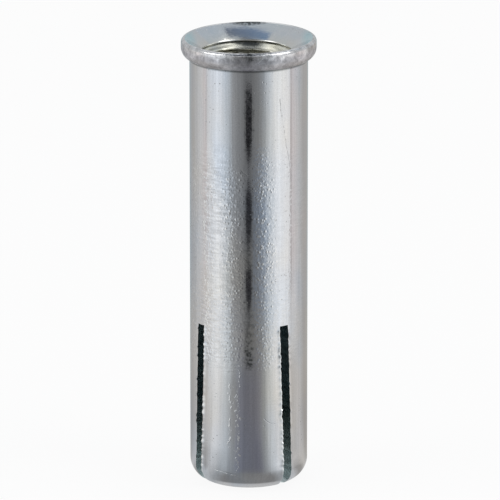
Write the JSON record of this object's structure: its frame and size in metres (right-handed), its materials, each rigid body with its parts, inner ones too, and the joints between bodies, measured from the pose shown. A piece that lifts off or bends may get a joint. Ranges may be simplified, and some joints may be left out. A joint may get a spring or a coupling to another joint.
{
  "type": "drop-in anchor",
  "caption": "Lipped steel drop-in anchor: an internally threaded sleeve with a flared rim, a slotted rounded end and a tapered plug that spreads its leaves.",
  "frame": {"origin": "centre of the slotted end, on the surface that the anchor stands on", "axes": "+Z along the sleeve's axis from the slotted end to the lip; -Y is the side that the picture shows"},
  "size_m": [0.009, 0.009, 0.0305],
  "materials": {
    "plated_steel": "zinc plating with a clear blue passivation, satin",
    "plug_steel": "plain drawn steel, satin"
  },
  "bodies": {
    "root": {"sleeve": "plated_steel", "expander_plug": "plug_steel"}
  },
  "joints": []
}
